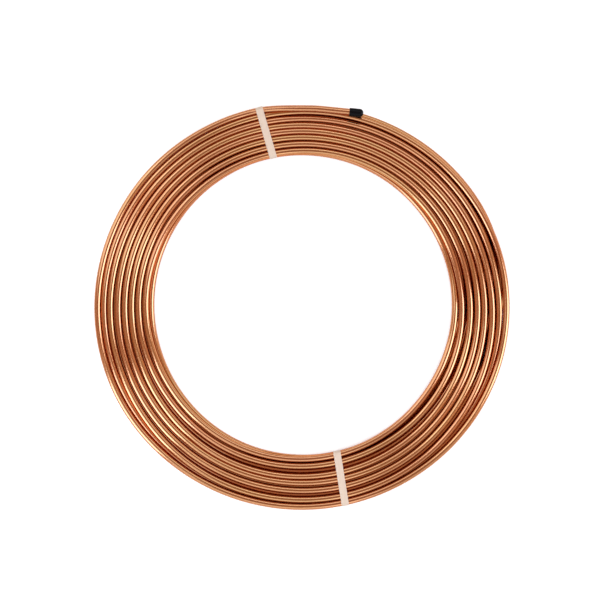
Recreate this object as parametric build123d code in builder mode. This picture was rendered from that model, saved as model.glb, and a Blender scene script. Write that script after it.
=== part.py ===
"""A flat coil of soft copper tube, tied by two plastic straps, with a cap on its free end.

The coil lies on its back, its axis along +Z, and is seen from above. The origin is on the
floor under the middle of the bore. Angles run counter-clockwise from +X. All in millimetres.
"""

import os
from math import cos, radians, sin, sqrt, tan

from build123d import *

# Tube: soft copper, a quarter of an inch outside
tube_diameter = 6.35
tube_wall = 0.76

# Winding: a front row of turns, and a back row that starts half a pitch inside it and nests in its grooves
bore_diameter = 295.0
turn_gap = 0.6
front_turns = 8
back_turns = 6

# Straps: closed plastic bands, each drawn round both rows at a slight slant
strap_width = 7.0
strap_thickness = 0.5
strap_clearance = 0.2
upper_strap_angle = 101.8
upper_strap_slant = 4.5
lower_strap_angle = 282.7
lower_strap_slant = -3.6

# Tail: the outermost turn's free end, which leaves its row past the upper strap
tail_root_angle = 100.3
tail_root_rise = 0.4
tail_root_inset = 0.3
tail_end_angle = 73.0
tail_end_inset = 4.3
tail_first_run = 8.0
tail_climb_run = 34.0
tail_bend_radius = 60.0
tail_bore_depth = 20.0

# Cap: a soft plastic cup pushed over the tail's end
cap_wall = 0.9
cap_length = 13.6
cap_end_wall = 1.6
cap_end_chamfer = 1.6
cap_fit = 0.08
cap_end_gap = 0.3
cap_lie_gap = 0.2

tube_radius = tube_diameter / 2
turn_pitch = tube_diameter + turn_gap

# Each turn of the winding has eight sides, which stand outside the tube's own circle
half_side = tube_radius * tan(radians(22.5))
corner_radius = tube_radius / cos(radians(22.5))

row_drop = sqrt(tube_diameter**2 - (turn_pitch / 2) ** 2)
strap_inner_radius = corner_radius + strap_clearance
back_z = strap_thickness + strap_inner_radius
front_z = back_z + row_drop

back_radii = [bore_diameter / 2 + tube_radius + i * turn_pitch for i in range(back_turns)]
front_radii = [back_radii[0] + (i + 0.5) * turn_pitch for i in range(front_turns)]

# The four turns at the corners of the winding's section, as radius and height
section_corners = [
    (front_radii[0], front_z),
    (front_radii[-1], front_z),
    (back_radii[-1], back_z),
    (back_radii[0], back_z),
]

cap_radius = tube_radius + cap_fit + cap_wall
tail_z = front_z + tube_radius + cap_lie_gap + cap_radius


def polar_point(radius, angle, height):
    """A point at a radius and an angle about the coil's axis."""
    return Vector(radius * cos(radians(angle)), radius * sin(radians(angle)), height)


# The tail runs in an upright plane, from inside the outermost turn to inside its cap
tail_root = polar_point(front_radii[-1] - tail_root_inset, tail_root_angle, front_z + tail_root_rise)
tail_tip = polar_point(front_radii[-1] - tail_end_inset, tail_end_angle, front_z + tail_root_rise)
tail_run = (tail_tip - tail_root).length
tail_climb = tail_z - tail_root.Z
tail_plane = Plane(origin=tail_root, x_dir=tail_tip - tail_root, z_dir=(tail_tip - tail_root).cross(Vector(0, 0, 1)))


def row_outline(radii, height):
    """A row of turns in section: eight-sided crests above and below, whose slopes meet in grooves."""
    groove_height = half_side - turn_gap / 2
    upper = [(radii[0] - tube_radius, half_side)]
    for radius in radii:
        upper.append((radius - half_side, tube_radius))
        upper.append((radius + half_side, tube_radius))
        upper.append((radius + turn_pitch / 2, groove_height))
    upper[-1] = (radii[-1] + tube_radius, half_side)
    lower = [(radius, -rise) for radius, rise in reversed(upper)]
    return [(radius, height + rise) for radius, rise in upper + lower]


with BuildPart() as copper_coil:
    # The winding's section: both rows, and a core that fills the gaps between them
    with BuildSketch(Plane.XZ):
        for radii, height in ((front_radii, front_z), (back_radii, back_z)):
            with BuildLine():
                Polyline(*row_outline(radii, height), close=True)
            make_face()
        with Locations(((front_radii[0] + back_radii[-1]) / 2, (front_z + back_z) / 2)):
            Rectangle(back_radii[-1] - front_radii[0] + 2 * half_side, front_z - back_z)
    revolve(axis=Axis.Z)
    # The tail climbs off the outermost turn and lies across the front row
    with BuildLine(tail_plane) as tail_path:
        FilletPolyline(
            (0, 0),
            (tail_first_run, 0),
            (tail_first_run + tail_climb_run, tail_climb),
            (tail_run, tail_climb),
            radius=tail_bend_radius,
        )
    tail_line = tail_path.wire()
    with BuildSketch(Plane(origin=tail_line @ 0, z_dir=tail_line % 0)):
        Circle(tube_radius)
    sweep(path=tail_line)
    # The tube's own bore, open at the tail's end
    tail_end_plane = Plane(origin=tail_line @ 1, z_dir=tail_line % 1)
    with BuildSketch(tail_end_plane):
        Circle(tube_radius - tube_wall)
    extrude(amount=-tail_bore_depth, mode=Mode.SUBTRACT)


# The cap's closed end stands just past the tube's end, and its mouth faces back along the tail
cap_end_plane = tail_end_plane.offset(cap_end_gap + cap_end_wall)
with BuildPart() as end_cap:
    with BuildSketch(cap_end_plane):
        Circle(cap_radius)
    extrude(amount=-cap_length)
    rims = end_cap.edges().filter_by(GeomType.CIRCLE)
    chamfer(rims.sort_by(Axis(cap_end_plane.origin, cap_end_plane.z_dir))[-1], length=cap_end_chamfer)
    with BuildSketch(cap_end_plane.offset(-cap_length)):
        Circle(tube_radius + cap_fit)
    extrude(amount=cap_length - cap_end_wall, mode=Mode.SUBTRACT)


def slanted_crossing(radius, middle, slant):
    """How far along the strap's slanted line it crosses a turn, from where it crosses the middle."""
    return sqrt(radius**2 - (middle * sin(radians(slant))) ** 2) - middle * cos(radians(slant))


def make_strap(angle, slant):
    """A band round the winding's section, as the hull of the corner turns, drawn taut."""
    middle = (front_radii[0] + front_radii[-1]) / 2
    # The turns pass under the band askew, so it reaches further at both ends to clear its own width
    end_room = strap_width / 2 * sin(radians(abs(slant)))
    along_strap = polar_point(1, angle + slant, 0)
    across_strap = polar_point(1, angle + slant - 90, 0)
    strap_plane = Plane(origin=polar_point(middle, angle, 0), x_dir=along_strap, z_dir=across_strap)
    corners = []
    for radius, height in section_corners:
        crossing = slanted_crossing(radius, middle, slant)
        corners.append((crossing + (end_room if crossing > 0 else -end_room), height))
    with BuildPart() as strap:
        with BuildSketch(strap_plane):
            with Locations(*corners):
                Circle(strap_inner_radius + strap_thickness)
            make_hull()
            with BuildSketch(mode=Mode.PRIVATE) as opening:
                with Locations(*corners):
                    Circle(strap_inner_radius)
                make_hull()
            add(opening.sketch, mode=Mode.SUBTRACT)
        extrude(amount=strap_width / 2, both=True)
    return strap


strap_upper = make_strap(upper_strap_angle, upper_strap_slant)
strap_lower = make_strap(lower_strap_angle, lower_strap_slant)

os.makedirs("parts", exist_ok=True)
pieces = {
    "copper_coil": copper_coil,
    "end_cap": end_cap,
    "strap_upper": strap_upper,
    "strap_lower": strap_lower,
}
for label, piece in pieces.items():
    piece.part.label = label
    export_step(piece.part, f"parts/{label}.step")
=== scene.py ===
"""A flat coil of soft copper tube on a white floor, seen from straight above.

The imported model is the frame. Its four solids are replaced by the finished pieces: the tube
wound as one length in two rows, the cap on its free end, and the two straps that tie it.
"""

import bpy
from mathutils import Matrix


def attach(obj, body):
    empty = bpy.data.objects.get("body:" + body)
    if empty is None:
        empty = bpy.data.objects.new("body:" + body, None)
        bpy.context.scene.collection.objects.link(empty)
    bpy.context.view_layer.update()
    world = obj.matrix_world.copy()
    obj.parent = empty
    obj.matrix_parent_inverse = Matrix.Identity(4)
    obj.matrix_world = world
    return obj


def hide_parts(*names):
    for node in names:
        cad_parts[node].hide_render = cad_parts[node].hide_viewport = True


bl_info = {
    "name": "Copper tube coil",
    "version": (1, 0, 0),
    "blender": (4, 5, 0),
    "location": "View3D > Sidebar > Copper coil",
    "description": "Winds a coil of soft copper tube in two rows, with its cap and straps",
    "category": "Add Mesh",
}

import bpy
import numpy as np
from bpy.props import FloatProperty, FloatVectorProperty, IntProperty, PointerProperty
from mathutils import Vector

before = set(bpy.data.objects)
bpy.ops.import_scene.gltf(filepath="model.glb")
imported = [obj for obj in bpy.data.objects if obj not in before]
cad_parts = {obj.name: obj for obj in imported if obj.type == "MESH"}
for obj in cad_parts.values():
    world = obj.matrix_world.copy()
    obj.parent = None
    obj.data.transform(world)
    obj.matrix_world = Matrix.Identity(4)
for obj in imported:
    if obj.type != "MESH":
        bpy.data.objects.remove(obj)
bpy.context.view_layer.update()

MM = 0.001

# Where the turns lie, in millimetres from the middle of the bore, at stations round the coil
STATIONS = (
    102, 115, 130, 145, 160, 180, 200, 215, 230, 245, 260,
    280, 300, 320, 340, 355, 370, 385, 400, 415, 430, 446,
)
FRONT_TURNS = (
    (
        198.2, 198.2, 199.7, 201.0, 201.8, 203.2, 203.6, 202.7, 201.3, 200.2, 199.5,
        199.2, 199.7, 201.3, 202.3, 201.9, 201.8, 200.0, 197.2, 194.9, 193.4, 191.9,
    ),
    (
        191.7, 191.9, 193.4, 194.7, 195.4, 197.1, 197.3, 196.9, 196.5, 196.3, 195.8,
        195.6, 196.0, 196.8, 197.0, 195.8, 193.3, 192.1, 190.0, 187.9, 186.4, 185.0,
    ),
    (
        185.2, 185.6, 187.1, 188.2, 189.1, 190.8, 191.0, 191.6, 192.4, 193.0, 192.5,
        192.6, 192.9, 192.2, 190.8, 188.5, 186.4, 184.7, 182.7, 180.7, 179.2, 178.3,
    ),
    (
        178.9, 179.5, 180.7, 181.4, 181.9, 182.9, 183.8, 184.0, 184.0, 183.7, 183.3,
        183.6, 183.7, 183.1, 182.1, 180.7, 179.5, 178.3, 176.4, 174.4, 173.2, 172.5,
    ),
    (
        172.8, 173.5, 174.4, 174.9, 175.2, 176.1, 176.6, 176.4, 176.4, 176.3, 175.7,
        175.8, 176.3, 176.1, 175.2, 173.9, 172.8, 171.9, 170.0, 168.2, 167.1, 166.4,
    ),
    (
        166.5, 166.9, 167.8, 168.3, 168.7, 169.4, 169.5, 169.7, 170.3, 170.5, 169.7,
        169.2, 169.0, 168.8, 167.8, 166.5, 165.2, 164.1, 163.0, 161.7, 160.7, 159.9,
    ),
    (
        159.7, 159.8, 160.8, 161.6, 162.0, 162.5, 161.9, 160.9, 161.0, 160.6, 159.5,
        158.9, 158.7, 159.4, 159.1, 158.0, 156.9, 156.4, 155.8, 155.0, 154.3, 153.5,
    ),
    (
        153.0, 152.9, 153.6, 154.2, 155.1, 155.7, 154.5, 153.7, 153.7, 153.4, 152.6,
        151.8, 151.0, 150.4, 150.6, 151.0, 151.4, 151.4, 151.5, 151.9, 152.1, 152.3,
    ),
)
# The back row's first turn, at the same stations, and how many turns the row has
FIRST_BACK_TURN = (
    152.6, 152.3, 151.8, 151.3, 150.9, 150.5, 150.4, 150.6, 151.0, 151.4, 151.4,
    151.7, 152.1, 152.5, 153.9, 158.4, 160.8, 160.3, 159.5, 158.8, 159.0, 159.3,
)
BACK_COUNT = 6
# The least distance between two back turns, and the angle and span over which they leave their nests
BACK_SPACING = 6.37
LEAVING_ANGLE = 300
LEAVING_SPAN = 60
# The outermost back turns, at the stations where they stray
STRAYED_TURNS = {
    102: (159.5, 167.5, 175.2, 181.6, 188.0),
    115: (159.3, 165.8, 173.0, 179.8, 186.6),
    340: (187.6,),
    355: (165.0, 172.0, 178.4, 185.0, 195.0),
    370: (169.0, 177.0, 184.0, 192.2, 199.3),
    385: (167.9, 178.0, 188.6, 195.2, 202.0),
    400: (166.5, 176.0, 186.1, 192.5, 199.8),
    415: (165.4, 175.0, 184.2, 190.6, 197.8),
    430: (166.5, 174.8, 183.0, 189.4, 196.5),
    446: (167.0, 175.5, 182.2, 188.6, 195.6),
}
# How far the second turn has sunk between its neighbours, from 0 to 1, by angle
SUNK_TURN = (
    (180, 0.1), (200, 0.22), (215, 0.56), (230, 0.89), (245, 1.0),
    (320, 1.0), (340, 0.75), (355, 0.3), (370, 0.1),
)
# Past this share the third turn rests on the sunken one too
SUNK_ENOUGH = 0.4

# How high the front row lies at least over the back one, as a share of the tube's diameter
FRONT_RISE = 0.83
# How much lower the back row lies between the straps than at them
BACK_SAG = 0.35
# The last front turn starts to drop to the back row over this angle and span, and then is down
DROP_ANGLE = 350.0
DROP_SPAN = 20.0
DOWN_ANGLE = 445.0
# The width of the bell, in degrees, that the winding is smoothed with
WINDING_BELL = 6.0
# How far the winding's middle lies to the right of the frame's origin
WINDING_MIDDLE = 0.5
# Where the tube's other end is cut off, after all its turns
TUBE_END_ANGLE = 84.0

# The free end, past the upper strap: angle, distance from the middle of the bore, and height. A
# distance of 0 stands for the tail's straight line
TAIL = (
    (73.0, 0.0, 16.98),
    (78.0, 0.0, 16.95),
    (82.0, 0.0, 16.65),
    (86.0, 0.0, 16.1),
    (90.0, 194.4, 15.5),
    (94.0, 195.0, 14.6),
    (98.0, 196.2, 13.1),
    (102.0, 197.6, 11.2),
    (107.0, 197.7, 10.1),
    (113.0, 197.6, 9.4),
)
TAIL_DISTANCE_BELL = 1.5
TAIL_HEIGHT_BELL = 2.0
# The straight line's two ends, as distance and angle
TAIL_ROOT = (202.5, 100.3)
TAIL_TIP = (198.5, 73.0)
# The tail bends off that line over this angle and span, and then joins the outermost turn
BEND_ANGLE = 80.0
BEND_SPAN = 8.0
JOINING_SPAN = 10.0

# The tube's cut ends: the bore's depth, the rim's rounding, and how far in the plain tube starts
END_BORE_DEPTH = 12.0
END_ROUNDING = 0.12
END_LENGTH = 1.0
# The radius of the small ring about the middle of an end
MIDDLE_RING = 0.02

# The cap's closed end: how far it lies past the tail's tip, its height, its wall and its rounding
CAP_REACH = 2.5
CAP_HEIGHT = 16.981
CAP_END_WALL = 1.7
CAP_ROUNDING = 3.6
# The cap's bore: its room round the tube, and how far from the closed end its next ring lies
CAP_ROOM = 0.03
CAP_BORE_RING = 6.0

# The straps: piece, node, and the angle and slant at which each crosses the winding's middle
STRAPS = (
    ("upper_strap", "strap_upper", 101.8, 4.5),
    ("lower_strap", "strap_lower", 282.7, -3.6),
)
# That middle, and how far from it a strap reaches, then its room over the turns and its step
STRAP_MIDDLE = 176.8
STRAP_REACH = 60.0
STRAP_CLEARANCE = 0.06
STRAP_STEP = 1.2
# Taken off a strap's thickness, so that it stays within its solid
STRAP_TRIM = 0.08

# The sines of the elevations between which the pale cove fades into the room
COVE_EDGE = 0.2
ROOM_EDGE = 0.3

# The world's colour, by the sine of the direction's elevation
WORLD_BANDS = (
    (0.0, (0.78, 0.75, 0.71)),
    (COVE_EDGE, (0.68, 0.62, 0.56)),
    (ROOM_EDGE, (0.33, 0.2, 0.135)),
    (0.94, (0.33, 0.2, 0.135)),
    (0.985, (0.44, 0.285, 0.2)),
)

# How bright the pale cove is, by azimuth in degrees
COVE_AZIMUTHS = (
    (-180.0, 0.35), (-166.0, 0.35), (-148.0, 0.8), (-90.0, 0.55), (-35.0, 0.65),
    (-5.0, 1.4), (15.0, 1.0), (40.0, 0.5), (62.0, 0.05), (78.0, 0.1),
    (105.0, 0.5), (140.0, 0.7), (160.0, 0.7), (175.0, 0.35),
)

# The lamps: azimuth, elevation, width and height in degrees, then radiance, colour and distance
DAYLIGHT = (0.88, 1.08, 1.36)
NEUTRAL = (0.9, 1.08, 1.22)
WARM = (1.0, 0.66, 0.47)
LAMPS = (
    ("panel_right", -9.5, 32.0, 30.0, 43.0, 3.0, DAYLIGHT, 3.0),
    ("panel_upper_right", 54.0, 41.0, 40.0, 32.0, 1.0, NEUTRAL, 3.0),
    ("panel_top", 108.0, 42.0, 44.0, 30.0, 1.1, NEUTRAL, 3.0),
    ("panel_upper_left", 151.0, 32.0, 28.0, 48.0, 1.1, NEUTRAL, 3.0),
    ("panel_upper_left_high", 152.0, 63.0, 20.0, 18.0, 1.3, DAYLIGHT, 3.0),
    ("panel_lower_left", 214.5, 29.0, 22.0, 38.0, 3.2, DAYLIGHT, 0.8),
    ("panel_lower_left_high", 220.0, 63.0, 20.0, 16.0, 0.9, DAYLIGHT, 0.8),
    ("panel_lower", 258.0, 38.0, 50.0, 42.0, 0.9, NEUTRAL, 3.0),
    ("panel_lower_right", 298.0, 36.0, 34.0, 30.0, 0.56, NEUTRAL, 3.0),
    ("panel_dim_right", 18.0, 40.0, 15.0, 50.0, 0.32, WARM, 3.0),
    ("panel_dim_left", 184.5, 40.0, 26.0, 50.0, 0.2, WARM, 3.0),
    ("panel_dim_lower_right", 326.0, 40.0, 11.0, 50.0, 0.38, WARM, 3.0),
)


def smooth(values, width):
    """Each value becomes the mean of its neighbours, weighted by a bell curve of that width."""
    reach = int(4 * width)
    bell = np.exp(-0.5 * (np.arange(-reach, reach + 1) / width) ** 2)
    padded = np.pad(values, reach, mode="edge")
    return np.convolve(padded, bell / bell.sum(), mode="valid")


def nest_height(front, back, diameter):
    """How high a turn lies above one it rests on: the side of the triangle between their centres."""
    return np.sqrt(np.maximum(diameter**2 - (front - back) ** 2, 0.0))


def back_turns():
    """The back row's turns at the stations, to a tenth of a millimetre.

    A turn lies in its nest, midway between the two front turns above it, or beside the turn
    before, if that is further out. It leaves the nest for the place beside that turn as the share
    leaving grows: max(nest, beside) * (1 - leaving) + beside * leaving. Some turns stray.
    """
    columns = []
    for column, station in enumerate(STATIONS):
        leaving = min(max((station - LEAVING_ANGLE) / LEAVING_SPAN, 0.0), 1.0)
        turns = [FIRST_BACK_TURN[column]]
        for index in range(1, BACK_COUNT):
            nest = (FRONT_TURNS[-index][column] + FRONT_TURNS[-index - 1][column]) / 2
            beside = turns[-1] + BACK_SPACING
            turns.append(max(nest, beside) * (1 - leaving) + beside * leaving)
        strayed = STRAYED_TURNS.get(station, ())
        turns[BACK_COUNT - len(strayed):] = strayed
        columns.append([round(turn, 1) for turn in turns])
    return tuple(zip(*columns))


def tail_line():
    """The tail's straight line: its tip, its direction, and its nearest point's distance and angle."""
    ends = []
    for distance, angle in (TAIL_ROOT, TAIL_TIP):
        ends.append(distance * np.array([np.cos(np.radians(angle)), np.sin(np.radians(angle))]))
    root, tip = ends
    direction = (tip - root) / np.linalg.norm(tip - root)
    outward = np.array([-direction[1], direction[0]])
    return tip, direction, tip @ outward, np.degrees(np.arctan2(outward[1], outward[0]))


def winding_path(sizes):
    """The tube's centre line, as angle, distance and height at each degree.

    The front row runs inward turn by turn, the last one drops to the back row from 350 to 445
    degrees, and the back row runs outward. A front turn rests on the back ones that it crosses.
    """
    diameter = sizes.tube_diameter / MM
    start = float(STATIONS[0])
    local = np.arange(start, start + 360.0, 1.0)
    ends = np.array(STATIONS + (start + 360.0,), dtype=float)

    rows = FRONT_TURNS + back_turns()
    following = [row[0] for row in rows[1:]] + [rows[-1][-1]]
    turns = np.array([np.interp(local, ends, (*row, after)) for row, after in zip(rows, following)])
    front = turns[:len(FRONT_TURNS)]
    back = turns[len(FRONT_TURNS):]
    sunk = np.interp(local, *zip(*SUNK_TURN))

    at_straps = np.cos(np.radians(local - start)) ** 2
    back_z = sizes.strap_thickness / MM + diameter / 2 - BACK_SAG * (1 - at_straps)
    least = FRONT_RISE * diameter
    rise = np.full_like(front, least)
    rise[1] = least * (1 - sunk)
    for index in range(len(front)):
        for below in back:
            rise[index] = np.maximum(rise[index], nest_height(front[index], below, diameter))
    dropping = np.clip((local - DROP_ANGLE) / DROP_SPAN, 0.0, 1.0)
    rise[-1] = np.maximum(rise[-2] - nest_height(front[-2], front[-1], diameter) * dropping, 0.0)
    rise[-1][local > DOWN_ANGLE] = 0.0
    rise[0] = np.maximum(rise[0], nest_height(front[0], front[1], diameter) + rise[1])
    third = nest_height(front[2], front[1], diameter) * (sunk > SUNK_ENOUGH) + rise[1]
    rise[2] = np.maximum(rise[2], third)

    distance = smooth(np.concatenate([front.ravel(), back.ravel()]), WINDING_BELL)
    height = np.concatenate([(rise + back_z).ravel(), np.tile(back_z, len(back))])
    height = smooth(height, WINDING_BELL)
    angle = start + np.arange(len(distance))

    # The free end takes over before the first station
    line_distance, line_angle = tail_line()[2:]
    tail_stations, tail_places, tail_heights = np.array(TAIL).T
    tail_angle = np.arange(tail_stations[0], tail_stations[-1], 1.0)
    on_line = line_distance / np.cos(np.radians(tail_stations - line_angle))
    places = np.where(tail_places > 0, tail_places, on_line)
    bent_line = smooth(np.interp(tail_angle, tail_stations, places), TAIL_DISTANCE_BELL)
    straight_line = line_distance / np.cos(np.radians(tail_angle - line_angle))
    bent = np.clip((tail_angle - BEND_ANGLE) / BEND_SPAN, 0.0, 1.0)
    tail_distance = straight_line * (1 - bent) + bent_line * bent
    tail_height = smooth(np.interp(tail_angle, tail_stations, tail_heights), TAIL_HEIGHT_BELL)
    before = int(start - tail_angle[0])
    shared = len(tail_angle) - before
    joining = np.clip(np.arange(shared) / JOINING_SPAN, 0.0, 1.0)
    distance[:shared] = tail_distance[before:] * (1 - joining) + distance[:shared] * joining
    height[:shared] = tail_height[before:] * (1 - joining) + height[:shared] * joining
    angle = np.concatenate([tail_angle[:before], angle])
    distance = np.concatenate([tail_distance[:before], distance])
    height = np.concatenate([tail_height[:before], height])
    return angle, distance, height


def carried_rings(points, profile_along, profile_radius, sides):
    """A round profile carried along a line.

    Each ring is a circle round the line, at a length along it and with a radius of its own:
    point + radius * (cos(v) * side + sin(v) * up). Side is level and square to the line.
    """
    steps = np.linalg.norm(np.diff(points, axis=0), axis=1)
    lengths = np.concatenate([[0.0], np.cumsum(steps)])
    tangent = np.gradient(points, lengths, axis=0)
    centre = np.stack([np.interp(profile_along, lengths, points[:, axis]) for axis in range(3)], axis=1)
    ahead = np.stack([np.interp(profile_along, lengths, tangent[:, axis]) for axis in range(3)], axis=1)
    ahead /= np.linalg.norm(ahead, axis=1, keepdims=True)
    side = np.cross(ahead, np.array([0.0, 0.0, 1.0]))
    side /= np.linalg.norm(side, axis=1, keepdims=True)
    up = np.cross(side, ahead)
    v = np.linspace(0.0, 2 * np.pi, sides, endpoint=False)
    offset = np.cos(v)[None, :, None] * side[:, None, :] + np.sin(v)[None, :, None] * up[:, None, :]
    return centre[:, None, :] + profile_radius[:, None, None] * offset


def make_surface(name, grid, along, closed_along=False):
    """A mesh from a grid of rings, each ring closed. Open ends are shut with a fan to their middle.

    The map "surface" gives the length along in metres and the share of the way round.
    """
    rings, sides = grid.shape[:2]
    points = grid.reshape(-1, 3)
    row = np.arange(rings if closed_along else rings - 1)
    column = np.arange(sides)
    i, j = np.meshgrid(row, column, indexing="ij")
    i_next = (i + 1) % rings
    j_next = (j + 1) % sides
    ring = i * sides
    ring_next = i_next * sides
    quads = np.stack([ring + j, ring_next + j, ring_next + j_next, ring + j_next], axis=-1)
    quads = quads.reshape(-1, 4)
    u0 = along[i].ravel()
    u1 = along[i_next].ravel() if not closed_along else along[i].ravel() + (along[1] - along[0])
    v0 = (j / sides).ravel()
    v1 = ((j + 1) / sides).ravel()
    maps = np.stack([u0, v0, u1, v0, u1, v1, u0, v1], axis=-1).reshape(-1, 2)
    corners = quads.ravel()
    starts = np.arange(len(quads)) * 4
    totals = np.full(len(quads), 4)
    if not closed_along:
        first = len(points)
        points = np.vstack([points, grid[0].mean(axis=0), grid[-1].mean(axis=0)])
        last_row = (rings - 1) * sides
        turn = (column + 1) % sides
        head = np.stack([np.full(sides, first), column, turn], axis=-1)
        foot = np.stack([np.full(sides, first + 1), last_row + turn, last_row + column], axis=-1)
        fans = np.vstack([head, foot])
        fan_map = np.repeat([[along[0], 0.5], [along[-1], 0.5]], 3 * sides, axis=0)
        starts = np.concatenate([starts, len(corners) + np.arange(len(fans)) * 3])
        totals = np.concatenate([totals, np.full(len(fans), 3)])
        corners = np.concatenate([corners, fans.ravel()])
        maps = np.vstack([maps, fan_map])
    mesh = bpy.data.meshes.new(name)
    mesh.vertices.add(len(points))
    mesh.vertices.foreach_set("co", (points * MM).ravel())
    mesh.loops.add(len(corners))
    mesh.loops.foreach_set("vertex_index", corners.astype(np.int32))
    mesh.polygons.add(len(starts))
    mesh.polygons.foreach_set("loop_start", starts.astype(np.int32))
    mesh.polygons.foreach_set("loop_total", totals.astype(np.int32))
    mesh.update(calc_edges=True)
    layer = mesh.uv_layers.new(name="surface")
    layer.data.foreach_set("uv", maps.ravel())
    mesh.shade_smooth()
    mesh.validate()
    piece = bpy.data.objects.new(name, mesh)
    bpy.context.collection.objects.link(piece)
    return piece


def new_material(name):
    """A node material with its Principled shader, and a helper that adds nodes and joins them."""
    material = bpy.data.materials.new(name)
    material.use_nodes = True
    nodes = material.node_tree.nodes
    links = material.node_tree.links
    shader = nodes["Principled BSDF"]

    def add(kind, inputs=None, **settings):
        node = nodes.new(kind)
        for key, value in settings.items():
            setattr(node, key, value)
        for key, value in (inputs or {}).items():
            if isinstance(value, bpy.types.NodeSocket):
                links.new(value, node.inputs[key])
            else:
                node.inputs[key].default_value = value
        return node

    return material, shader, add, links


def copper_finish(colours):
    """Bright drawn copper: rose and golden stretches, fine drawing lines and slow ripples.

    Its flanks, where the turns touch, get a darker copper as painted shade. The share of the crest
    is the size of the sine of the way round, which is 0 on a flank and 1 on top.
    """
    material, shader, add, links = new_material("bright_copper")
    shader.inputs["Metallic"].default_value = 1.0
    shader.inputs["Specular Tint"].default_value = (0.4, 0.2, 0.08, 1.0)
    surface = add("ShaderNodeUVMap", uv_map="surface")
    place = add("ShaderNodeTexCoord")
    stretch = add("ShaderNodeMapping", {"Vector": surface.outputs["UV"], "Scale": (3.0, 0.6, 1.0)})
    tints = add("ShaderNodeTexNoise", {"Vector": stretch.outputs["Vector"], "Scale": 2.0, "Detail": 2.0})
    golden = add("ShaderNodeMapRange", {"Value": tints.outputs["Fac"], "From Min": 0.35, "From Max": 0.65})
    rose = (*colours.copper_rose, 1.0)
    gold = (*colours.copper_gold, 1.0)
    tint = add("ShaderNodeMix", {"Factor": golden.outputs["Result"], "A": rose, "B": gold}, data_type="RGBA")
    # Painted shade: the flanks, where the turns touch and shade falls, get a darker copper than the crests
    parts = add("ShaderNodeSeparateXYZ", {"Vector": surface.outputs["UV"]})
    way_round = add("ShaderNodeMath", {0: parts.outputs["Y"], 1: 2 * np.pi}, operation="MULTIPLY")
    rise = add("ShaderNodeMath", {0: way_round.outputs["Value"]}, operation="SINE")
    crest = add("ShaderNodeMath", {0: rise.outputs["Value"]}, operation="ABSOLUTE")
    unshaded_crest = add("ShaderNodeMapRange", {"Value": crest.outputs["Value"], "From Min": 0.3, "From Max": 0.75})
    flank_shade = (*colours.copper_flank_shade, 1.0)
    colour = add(
        "ShaderNodeMix",
        {"Factor": unshaded_crest.outputs["Result"], "A": flank_shade, "B": tint.outputs["Result"]},
        data_type="RGBA",
    )
    links.new(colour.outputs["Result"], shader.inputs["Base Color"])
    lines_map = add("ShaderNodeMapping", {"Vector": surface.outputs["UV"], "Scale": (6.0, 70.0, 1.0)})
    lines = add("ShaderNodeTexNoise", {"Vector": lines_map.outputs["Vector"], "Scale": 1.0, "Detail": 3.0})
    rough = add(
        "ShaderNodeMapRange",
        {"Value": lines.outputs["Fac"], "From Min": 0.3, "From Max": 0.7, "To Min": 0.1, "To Max": 0.16},
    )
    links.new(rough.outputs["Result"], shader.inputs["Roughness"])
    ripples = add("ShaderNodeTexNoise", {"Vector": place.outputs["Object"], "Scale": 28.0, "Detail": 1.0})
    slow = add("ShaderNodeBump", {"Height": ripples.outputs["Fac"], "Strength": 0.16, "Distance": 0.0012})
    fine = add("ShaderNodeBump", {"Height": lines.outputs["Fac"], "Strength": 0.12, "Distance": 0.00008})
    links.new(slow.outputs["Normal"], fine.inputs["Normal"])
    links.new(fine.outputs["Normal"], shader.inputs["Normal"])
    return material


def vinyl_finish(colours):
    """Black vinyl with a soft sheen and a faintly uneven skin."""
    material, shader, add, links = new_material("black_vinyl")
    shader.inputs["Base Color"].default_value = (*colours.cap_black, 1.0)
    shader.inputs["IOR"].default_value = 1.52
    shader.inputs["Specular IOR Level"].default_value = 0.09
    place = add("ShaderNodeTexCoord")
    skin = add("ShaderNodeTexNoise", {"Vector": place.outputs["Object"], "Scale": 900.0, "Detail": 3.0})
    rough = add("ShaderNodeMapRange", {"Value": skin.outputs["Fac"], "To Min": 0.18, "To Max": 0.3})
    links.new(rough.outputs["Result"], shader.inputs["Roughness"])
    bump = add("ShaderNodeBump", {"Height": skin.outputs["Fac"], "Strength": 0.2, "Distance": 0.0001})
    links.new(bump.outputs["Normal"], shader.inputs["Normal"])
    return material


def strap_finish(colours):
    """Frosted plastic strapping: off-white, with streaks along its length."""
    material, shader, add, links = new_material("frosted_strap")
    shader.inputs["IOR"].default_value = 1.5
    surface = add("ShaderNodeUVMap", uv_map="surface")
    stretch = add("ShaderNodeMapping", {"Vector": surface.outputs["UV"], "Scale": (40.0, 60.0, 1.0)})
    streaks = add("ShaderNodeTexNoise", {"Vector": stretch.outputs["Vector"], "Scale": 1.0, "Detail": 3.0})
    r, g, b = colours.strap_white
    tint = add(
        "ShaderNodeMix",
        {"Factor": streaks.outputs["Fac"], "A": (r * 0.88, g * 0.86, b * 0.85, 1.0), "B": (r, g, b, 1.0)},
        data_type="RGBA",
    )
    links.new(tint.outputs["Result"], shader.inputs["Base Color"])
    rough = add("ShaderNodeMapRange", {"Value": streaks.outputs["Fac"], "To Min": 0.4, "To Max": 0.6})
    links.new(rough.outputs["Result"], shader.inputs["Roughness"])
    bump = add("ShaderNodeBump", {"Height": streaks.outputs["Fac"], "Strength": 0.3, "Distance": 0.0001})
    links.new(bump.outputs["Normal"], shader.inputs["Normal"])
    return material


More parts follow.
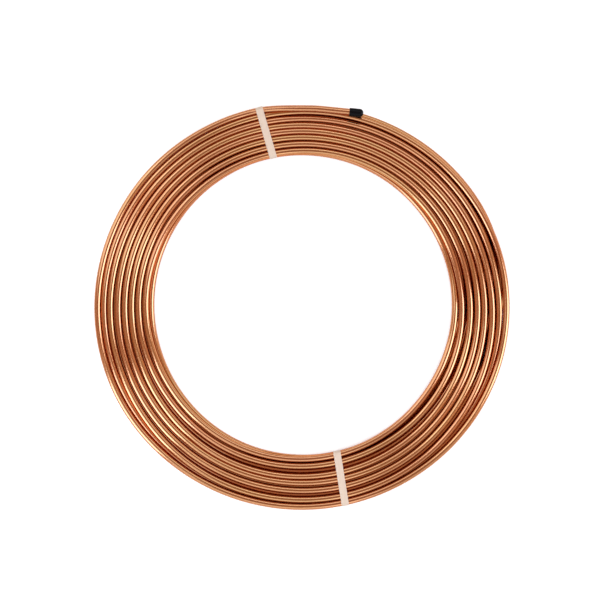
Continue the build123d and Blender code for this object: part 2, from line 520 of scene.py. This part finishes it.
def floor_finish(colours):
    """A white floor that keeps a soft shadow, and is white itself to the camera.

    Beneath and beside the coil, where little sky is open, its colour is painted dark as shade and its
    glow fades, and the glow turns red there as a painted reflection of the copper.
    """
    material, shader, add, links = new_material("white_floor")
    shader.inputs["Roughness"].default_value = 0.9
    shader.inputs["Specular IOR Level"].default_value = 0.0
    path = add("ShaderNodeLightPath")
    seen = add(
        "ShaderNodeMath",
        {0: path.outputs["Is Camera Ray"], 1: path.outputs["Is Glossy Ray"]},
        operation="MAXIMUM",
    )
    # Painted shade: where the coil shuts out the sky, the floor darkens and its glow fades
    cover = add("ShaderNodeAmbientOcclusion", {"Distance": 0.012}, samples=8)
    in_open = add("ShaderNodeMapRange", {"Value": cover.outputs["AO"], "From Min": 0.3, "From Max": 0.52})
    open_share = in_open.outputs["Result"]
    white = add("ShaderNodeMath", {0: seen.outputs["Value"], 1: open_share}, operation="MULTIPLY")
    painted_shade = (0.05, 0.01, 0.004, 1.0)
    bare = (*colours.floor_white, 1.0)
    floor = add("ShaderNodeMix", {"Factor": open_share, "A": painted_shade, "B": bare}, data_type="RGBA")
    links.new(floor.outputs["Result"], shader.inputs["Base Color"])
    glow = add("ShaderNodeMath", {0: white.outputs["Value"], 1: colours.floor_glow}, operation="MULTIPLY")
    # Painted reflection: toward the coil the glow takes the copper's red
    painted_copper_bounce = (1.0, 0.2, 0.07, 1.0)
    plain = (1.0, 1.0, 1.0, 1.0)
    glow_colour = add("ShaderNodeMix", {"Factor": open_share, "A": painted_copper_bounce, "B": plain}, data_type="RGBA")
    links.new(glow_colour.outputs["Result"], shader.inputs["Emission Color"])
    links.new(glow.outputs["Value"], shader.inputs["Emission Strength"])
    return material


class CoilSizes(bpy.types.PropertyGroup):
    """The sizes of the finished pieces."""

    tube_diameter: FloatProperty(
        name="Tube diameter", description="Outside diameter of the tube", default=0.00635, unit="LENGTH",
    )
    tube_wall: FloatProperty(
        name="Tube wall", description="Thickness of the tube's wall", default=0.00076, unit="LENGTH",
    )
    rings_a_turn: IntProperty(
        name="Rings a turn", description="How many rings of faces make one turn", default=196, min=60,
    )
    tube_sides: IntProperty(
        name="Tube sides", description="How many faces go round the tube", default=32, min=12,
    )
    cap_length: FloatProperty(
        name="Cap length", description="Length of the end cap", default=0.0139, unit="LENGTH",
    )
    cap_radius: FloatProperty(
        name="Cap radius", description="Outside radius of the end cap", default=0.00415, unit="LENGTH",
    )
    strap_width: FloatProperty(
        name="Strap width", description="Width of a strap", default=0.0072, unit="LENGTH",
    )
    strap_thickness: FloatProperty(
        name="Strap thickness", description="Thickness of a strap", default=0.0005, unit="LENGTH",
    )


class CoilColours(bpy.types.PropertyGroup):
    """The colours of the finishes."""

    copper_rose: FloatVectorProperty(
        name="Rose copper", description="The pinker stretches of the tube", default=(0.72, 0.325, 0.165),
        subtype="COLOR", size=3, min=0.0, max=1.0,
    )
    copper_gold: FloatVectorProperty(
        name="Golden copper", description="The yellower stretches of the tube", default=(0.71, 0.37, 0.17),
        subtype="COLOR", size=3, min=0.0, max=1.0,
    )
    # Painted shade: the darker copper painted on the tube's flanks
    copper_flank_shade: FloatVectorProperty(
        name="Copper film", description="The duller film on the tube's flanks", default=(0.6, 0.21, 0.085),
        subtype="COLOR", size=3, min=0.0, max=1.0,
    )
    cap_black: FloatVectorProperty(
        name="Cap", description="The vinyl cap", default=(0.004, 0.004, 0.005),
        subtype="COLOR", size=3, min=0.0, max=1.0,
    )
    strap_white: FloatVectorProperty(
        name="Straps", description="The plastic straps", default=(0.86, 0.69, 0.53),
        subtype="COLOR", size=3, min=0.0, max=1.0,
    )
    floor_white: FloatVectorProperty(
        name="Floor", description="The floor", default=(0.55, 0.55, 0.55),
        subtype="COLOR", size=3, min=0.0, max=1.0,
    )
    floor_glow: FloatProperty(
        name="Floor whiteness", description="How white the floor is to the camera by itself",
        default=0.72, min=0.0,
    )


def path_points(sizes):
    """The winding's centre line as points, in millimetres."""
    angle, distance, height = winding_path(sizes)
    last = TUBE_END_ANGLE + 360.0 * (len(FRONT_TURNS) + BACK_COUNT)
    fine = np.arange(angle[0], last, 360.0 / sizes.rings_a_turn)
    distance = np.interp(fine, angle, distance)
    height = np.interp(fine, angle, height)
    turn = np.radians(fine)
    return np.stack([WINDING_MIDDLE + distance * np.cos(turn), distance * np.sin(turn), height], axis=1)


class COPPERCOIL_OT_wind_tube(bpy.types.Operator):
    """Winds the copper tube in its two rows, with its free end across the front"""

    bl_idname = "copper_coil.wind_tube"
    bl_label = "Wind the tube"

    def execute(self, context):
        sizes = context.scene.coil_sizes
        points = path_points(sizes)
        steps = np.linalg.norm(np.diff(points, axis=0), axis=1)
        length = steps.sum()
        outer = sizes.tube_diameter / MM / 2
        inner = outer - sizes.tube_wall / MM
        along = np.concatenate([[0.0], np.cumsum(steps)])
        # Each cut end, from the middle of the bore's bottom out to the rim
        end_along = np.array([END_BORE_DEPTH, END_BORE_DEPTH, 0.0, 0.0, END_ROUNDING])
        end_radius = np.array([MIDDLE_RING, inner, inner, outer - END_ROUNDING, outer])
        body = along[(along > END_LENGTH) & (along < length - END_LENGTH)]
        profile_along = np.concatenate([end_along, body, length - end_along[::-1]])
        profile_radius = np.concatenate([end_radius, np.full(len(body), outer), end_radius[::-1]])
        grid = carried_rings(points, profile_along, profile_radius, sizes.tube_sides)
        tube = make_surface("copper_tube", grid, profile_along * MM)
        tube.data.materials.append(copper_finish(context.scene.coil_colours))
        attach(tube, "root")
        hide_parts("copper_coil")
        print("tube", round(length / 1000, 2), "m")
        return {"FINISHED"}


class COPPERCOIL_OT_fit_cap(bpy.types.Operator):
    """Pushes the vinyl cap over the tube's free end"""

    bl_idname = "copper_coil.fit_cap"
    bl_label = "Fit the cap"

    def execute(self, context):
        sizes = context.scene.coil_sizes
        radius = sizes.cap_radius / MM
        length = sizes.cap_length / MM
        bore = sizes.tube_diameter / MM / 2 + CAP_ROOM
        bend = np.linspace(0.0, np.pi / 2, 12)
        lip = np.linspace(0.0, np.pi, 9)
        lip_radius = (radius - bore) / 2
        middle = (radius + bore) / 2
        bottom = length - CAP_END_WALL
        shoulder = length - CAP_ROUNDING
        # From the bottom of the bore out to the mouth, round its lip, along the outside and over the end
        profile_along = np.concatenate([
            [bottom, bottom, length - CAP_BORE_RING],
            lip_radius - lip_radius * np.sin(lip),
            [length * 0.25, length * 0.5, shoulder - 0.5],
            shoulder + CAP_ROUNDING * np.sin(bend),
            [length],
        ])
        profile_radius = np.concatenate([
            [MIDDLE_RING, bore, bore],
            middle - lip_radius * np.cos(lip),
            [radius, radius, radius],
            radius - CAP_ROUNDING + CAP_ROUNDING * np.cos(bend),
            [MIDDLE_RING],
        ])
        tip, direction = tail_line()[:2]
        end = np.append(tip + CAP_REACH * direction, CAP_HEIGHT)
        axis = np.append(direction, 0.0)
        line = end + axis * np.linspace(-length, 0.0, 12)[:, None]
        grid = carried_rings(line, profile_along, profile_radius, 48)
        cap = make_surface("vinyl_cap", grid, profile_along * MM)
        cap.data.materials.append(vinyl_finish(context.scene.coil_colours))
        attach(cap, "root")
        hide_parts("end_cap")
        return {"FINISHED"}


class COPPERCOIL_OT_tie_straps(bpy.types.Operator):
    """Ties the winding with its two plastic straps"""

    bl_idname = "copper_coil.tie_straps"
    bl_label = "Tie the straps"

    def execute(self, context):
        sizes = context.scene.coil_sizes
        points = path_points(sizes)
        for name, node, angle, slant in STRAPS:
            strap = tie_strap(name, points, sizes, angle, slant)
            strap.data.materials.append(strap_finish(context.scene.coil_colours))
            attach(strap, "root")
            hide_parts(node)
        return {"FINISHED"}


def tie_strap(name, points, sizes, angle, slant):
    """A strap: a rounded flat profile carried round the hull of the turns that it crosses."""
    radius = sizes.tube_diameter / MM / 2
    turn = np.radians(angle)
    slanted = np.radians(angle + slant)
    origin = np.array([STRAP_MIDDLE * np.cos(turn), STRAP_MIDDLE * np.sin(turn), 0.0])
    outward = np.array([np.cos(slanted), np.sin(slanted), 0.0])
    across = np.array([-outward[1], outward[0], 0.0])
    relative = points - origin
    offset = relative @ across
    along = relative @ outward
    near = np.abs(along[:-1]) < STRAP_REACH
    crossing = np.nonzero((offset[:-1] * offset[1:] <= 0) & near)[0]
    share = offset[crossing] / (offset[crossing] - offset[crossing + 1])
    reach = along[crossing] * (1 - share) + along[crossing + 1] * share
    height = points[crossing, 2] * (1 - share) + points[crossing + 1, 2] * share
    centres = np.stack([reach, height], axis=1)

    # The support of a set of circles in each direction gives the taut line's corners
    direction = np.linspace(0.0, 2 * np.pi, 361)[:-1]
    facing = np.stack([np.cos(direction), np.sin(direction)], axis=1)
    reached = centres[np.argmax(facing @ centres.T, axis=1)]
    line = reached + facing * (radius + STRAP_CLEARANCE)
    gaps = np.linalg.norm(np.roll(line, -1, axis=0) - line, axis=1)
    counts = [max(int(gap / STRAP_STEP), 1) for gap in gaps]
    parts = [np.linspace(0.0, 1.0, count, endpoint=False) for count in counts]
    start = np.concatenate([np.full(len(part), index) for index, part in enumerate(parts)])
    share = np.concatenate(parts)[:, None]
    following = (start + 1) % len(line)
    path = line[start] * (1 - share) + line[following] * share
    normal = facing[start] * (1 - share) + facing[following] * share
    normal /= np.linalg.norm(normal, axis=1, keepdims=True)

    # The profile, across and through the strap: flat faces, with corners taken off in two steps
    thick = sizes.strap_thickness / MM - STRAP_TRIM
    half = sizes.strap_width / MM / 2
    inset = 0.08
    slope = 0.02
    side = 0.12
    edge = np.array([
        (-half, side), (-half + inset, slope), (-half * 0.5, 0.0), (0.0, 0.0), (half * 0.5, 0.0),
        (half - inset, slope), (half, side), (half, thick - side), (half - inset, thick - slope),
        (half * 0.5, thick), (0.0, thick), (-half * 0.5, thick), (-half + inset, thick - slope),
        (-half, thick - side),
    ])
    flat = path[:, None, :] + normal[:, None, :] * edge[None, :, 1:2]
    grid = (
        origin
        + flat[..., 0:1] * outward
        + flat[..., 1:2] * np.array([0.0, 0.0, 1.0])
        + edge[None, :, 0:1] * across
    )
    lengths = np.concatenate([[0.0], np.cumsum(np.linalg.norm(np.diff(path, axis=0), axis=1))])
    return make_surface(name, grid, lengths * MM, closed_along=True)


def soft_panel(name, azimuth, elevation, width, height, radiance, tint, distance):
    """A soft lamp of that angular width and height, in degrees, aimed at the coil.

    Its power is radiance times pi times its area.
    """
    size_x = 2 * distance * np.tan(np.radians(width / 2))
    size_y = 2 * distance * np.tan(np.radians(height / 2))
    lamp = bpy.data.lights.new(name, "AREA")
    lamp.shape = "RECTANGLE"
    lamp.size = size_x
    lamp.size_y = size_y
    lamp.energy = radiance * np.pi * size_x * size_y
    lamp.color = tint
    holder = bpy.data.objects.new(name, lamp)
    turn = np.radians(azimuth)
    lift = np.radians(elevation)
    place = Vector((
        distance * np.cos(lift) * np.cos(turn),
        distance * np.cos(lift) * np.sin(turn),
        distance * np.sin(lift),
    ))
    holder.location = place
    holder.rotation_euler = (-place).to_track_quat("-Z", "Y").to_euler()
    bpy.context.collection.objects.link(holder)
    return holder


def studio_world():
    """A pale cove low down, a dim warm room above it, and a faint warm ceiling straight overhead."""
    world = bpy.data.worlds.new("studio")
    world.use_nodes = True
    nodes = world.node_tree.nodes
    links = world.node_tree.links
    background = nodes["Background"]
    direction = nodes.new("ShaderNodeTexCoord")
    parts = nodes.new("ShaderNodeSeparateXYZ")
    bands = nodes.new("ShaderNodeValToRGB")
    bands.color_ramp.interpolation = "EASE"
    elements = bands.color_ramp.elements
    while len(elements) < len(WORLD_BANDS):
        elements.new(0.5)
    for element, (height, colour) in zip(elements, WORLD_BANDS):
        element.position = height
        element.color = (*colour, 1.0)
    links.new(direction.outputs["Generated"], parts.inputs["Vector"])
    links.new(parts.outputs["Z"], bands.inputs["Fac"])
    links.new(bands.outputs["Color"], background.inputs["Color"])

    # The cove's own brightness round the horizon: strength = 1 + low * (round - 1)
    azimuth = nodes.new("ShaderNodeMath")
    azimuth.operation = "ARCTAN2"
    links.new(parts.outputs["Y"], azimuth.inputs[0])
    links.new(parts.outputs["X"], azimuth.inputs[1])
    share = nodes.new("ShaderNodeMapRange")
    share.inputs["From Min"].default_value = -np.pi
    share.inputs["From Max"].default_value = np.pi
    links.new(azimuth.outputs["Value"], share.inputs["Value"])
    cove = nodes.new("ShaderNodeValToRGB")
    stops = cove.color_ramp.elements
    while len(stops) < len(COVE_AZIMUTHS):
        stops.new(0.5)
    for stop, (degrees, level) in zip(stops, COVE_AZIMUTHS):
        stop.position = (degrees + 180.0) / 360.0
        stop.color = (level, level, level, 1.0)
    links.new(share.outputs["Result"], cove.inputs["Fac"])
    low = nodes.new("ShaderNodeMapRange")
    low.inputs["From Min"].default_value = ROOM_EDGE
    low.inputs["From Max"].default_value = COVE_EDGE
    links.new(parts.outputs["Z"], low.inputs["Value"])
    strength = nodes.new("ShaderNodeMix")
    strength.inputs["A"].default_value = 1.0
    links.new(low.outputs["Result"], strength.inputs["Factor"])
    links.new(cove.outputs["Color"], strength.inputs["B"])
    links.new(strength.outputs["Result"], background.inputs["Strength"])
    return world


class COPPERCOIL_OT_set_stage(bpy.types.Operator):
    """Sets the floor, the studio light and the camera straight above"""

    bl_idname = "copper_coil.set_stage"
    bl_label = "Set the stage"

    def execute(self, context):
        floor_mesh = bpy.data.meshes.new("floor")
        reach = 6.0
        corners = [(-reach, -reach, 0.0), (reach, -reach, 0.0), (reach, reach, 0.0), (-reach, reach, 0.0)]
        floor_mesh.from_pydata(corners, [], [(0, 1, 2, 3)])
        floor = bpy.data.objects.new("floor", floor_mesh)
        floor.data.materials.append(floor_finish(context.scene.coil_colours))
        context.collection.objects.link(floor)

        context.scene.world = studio_world()

        for lamp in LAMPS:
            soft_panel(*lamp)

        camera_data = bpy.data.cameras.new("camera")
        camera = bpy.data.objects.new("camera", camera_data)
        context.collection.objects.link(camera)
        # The view is so wide at the height of the front row's turns
        view_middle = (-0.002, 0.0054)
        view_width = 0.5943
        turns_height = 0.0093
        height = 2.0
        camera.location = (*view_middle, height)
        camera.rotation_euler = (0.0, 0.0, 0.0)
        camera_data.sensor_width = 36.0
        camera_data.lens = camera_data.sensor_width * (height - turns_height) / view_width
        context.scene.camera = camera
        context.scene.view_settings.view_transform = "Standard"
        return {"FINISHED"}


class COPPERCOIL_PT_panel(bpy.types.Panel):
    """Lists the coil's pieces, sizes and colours"""

    bl_idname = "COPPERCOIL_PT_panel"
    bl_label = "Copper coil"
    bl_space_type = "VIEW_3D"
    bl_region_type = "UI"
    bl_category = "Copper coil"

    def draw(self, context):
        layout = self.layout
        for operator in (
            COPPERCOIL_OT_wind_tube,
            COPPERCOIL_OT_fit_cap,
            COPPERCOIL_OT_tie_straps,
            COPPERCOIL_OT_set_stage,
        ):
            layout.operator(operator.bl_idname)
        for group in (context.scene.coil_sizes, context.scene.coil_colours):
            for key in group.bl_rna.properties.keys():
                if key not in {"rna_type", "name"}:
                    layout.prop(group, key)


CLASSES = (
    CoilSizes,
    CoilColours,
    COPPERCOIL_OT_wind_tube,
    COPPERCOIL_OT_fit_cap,
    COPPERCOIL_OT_tie_straps,
    COPPERCOIL_OT_set_stage,
    COPPERCOIL_PT_panel,
)


def register():
    for item in CLASSES:
        bpy.utils.register_class(item)
    bpy.types.Scene.coil_sizes = PointerProperty(type=CoilSizes)
    bpy.types.Scene.coil_colours = PointerProperty(type=CoilColours)


def unregister():
    del bpy.types.Scene.coil_colours
    del bpy.types.Scene.coil_sizes
    for item in reversed(CLASSES):
        bpy.utils.unregister_class(item)


def main():
    """Makes every piece and the stage."""
    register()
    bpy.ops.copper_coil.wind_tube()
    bpy.ops.copper_coil.fit_cap()
    bpy.ops.copper_coil.tie_straps()
    bpy.ops.copper_coil.set_stage()


if __name__ == "__main__":
    main()
